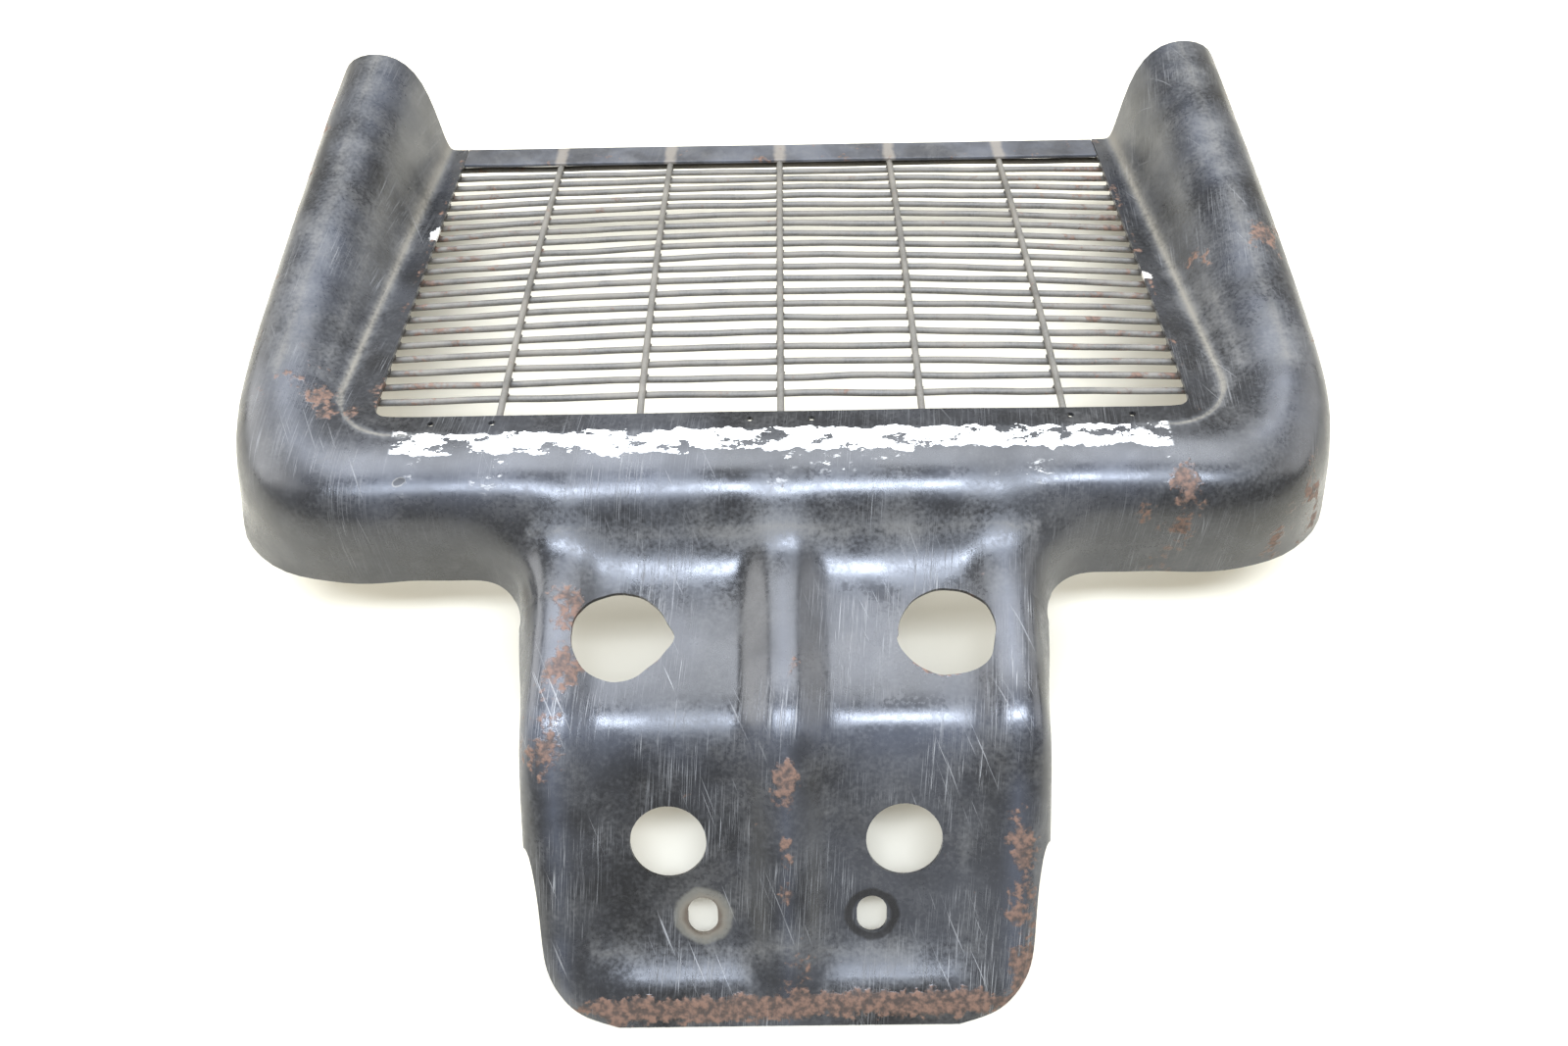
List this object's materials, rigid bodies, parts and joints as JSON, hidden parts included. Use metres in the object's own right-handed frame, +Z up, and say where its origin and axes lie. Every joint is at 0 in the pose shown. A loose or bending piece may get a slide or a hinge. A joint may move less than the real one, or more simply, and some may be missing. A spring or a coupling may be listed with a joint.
{
  "type": "front grille guard",
  "caption": "Pressed steel front guard: a U-shaped channel bar round a welded wire grille, with a ribbed mounting tongue, large round holes and two bolt slots.",
  "frame": {"origin": "middle of the footprint, on the surface that the guard lies on face up", "axes": "+X to the right arm, +Y from the tongue's end towards the arms' ends, +Z up out of the guard's face"},
  "size_m": [0.516, 0.4974, 0.1119],
  "materials": {
    "black_paint": "gloss black paint, worn, with rust at the edges and dust in the folds",
    "strip_paint": "dull black paint, dusty",
    "worn_wire_paint": "worn dull black paint with rust at the wires' ends and crossings",
    "bracket_paint": "dull black paint"
  },
  "bodies": {
    "root": {"guard_shell": "black_paint", "top_strip": "strip_paint", "arm_bracket_left": "bracket_paint", "arm_bracket_right": "bracket_paint", "cross_wire_01": "worn_wire_paint", "cross_wire_02": "worn_wire_paint", "cross_wire_03": "worn_wire_paint", "cross_wire_04": "worn_wire_paint", "cross_wire_05": "worn_wire_paint", "cross_wire_06": "worn_wire_paint", "cross_wire_07": "worn_wire_paint", "cross_wire_08": "worn_wire_paint", "cross_wire_09": "worn_wire_paint", "cross_wire_10": "worn_wire_paint", "cross_wire_11": "worn_wire_paint", "cross_wire_12": "worn_wire_paint", "cross_wire_13": "worn_wire_paint", "cross_wire_14": "worn_wire_paint", "cross_wire_15": "worn_wire_paint", "cross_wire_16": "worn_wire_paint", "cross_wire_17": "worn_wire_paint", "cross_wire_18": "worn_wire_paint", "cross_wire_19": "worn_wire_paint", "cross_wire_20": "worn_wire_paint", "cross_wire_21": "worn_wire_paint", "upright_wire_1": "worn_wire_paint", "upright_wire_2": "worn_wire_paint", "upright_wire_3": "worn_wire_paint", "upright_wire_4": "worn_wire_paint", "upright_wire_5": "worn_wire_paint"}
  },
  "joints": []
}
